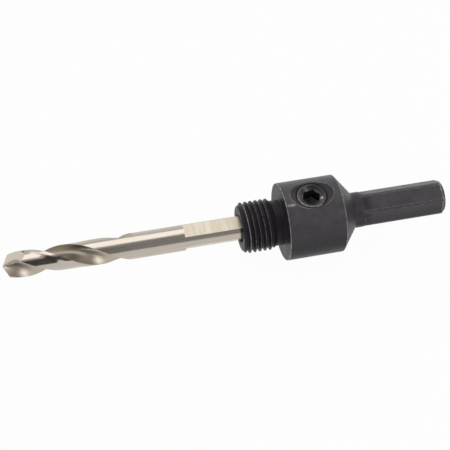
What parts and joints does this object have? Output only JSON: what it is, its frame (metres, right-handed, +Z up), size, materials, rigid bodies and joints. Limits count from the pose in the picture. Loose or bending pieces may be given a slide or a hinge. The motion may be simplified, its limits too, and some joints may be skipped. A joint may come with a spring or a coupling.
{
  "type": "hole saw arbor",
  "caption": "Hole saw arbor with a hexagonal shank, a threaded nose, a fluted pilot drill and the socket set screw that clamps the drill in its bore.",
  "frame": {"origin": "under the middle of the arbor's length, on the surface it lies on; the arbor's axis is 9.63 mm above it", "axes": "+X along the arbor's axis from the pilot drill's point to the end of the shank, +Z up, which is the way the set screw faces"},
  "size_m": [0.1096, 0.0192, 0.0193],
  "materials": {
    "black_oxide_steel": "turned and milled steel with a satin black oxide finish, worn bright on its sharp edges",
    "high_speed_steel": "ground high speed steel with a faint straw tone, fine grinding marks round the flutes and point",
    "screw_black_oxide": "hardened steel with a black oxide finish"
  },
  "bodies": {
    "arbor_body": {"arbor_body": "black_oxide_steel"},
    "pilot_drill": {"pilot_drill": "high_speed_steel"},
    "set_screw": {"set_screw": "screw_black_oxide"}
  },
  "joints": [
    {"name": "pilot_drill_slide", "type": "slide", "parent": "arbor_body", "child": "pilot_drill", "axis": [-1, 0, 0], "range_m": [0, 0.026]},
    {"name": "set_screw_back_out", "type": "slide", "parent": "arbor_body", "child": "set_screw", "axis": [0, 0, 1], "range_m": [0, 0.007]}
  ]
}
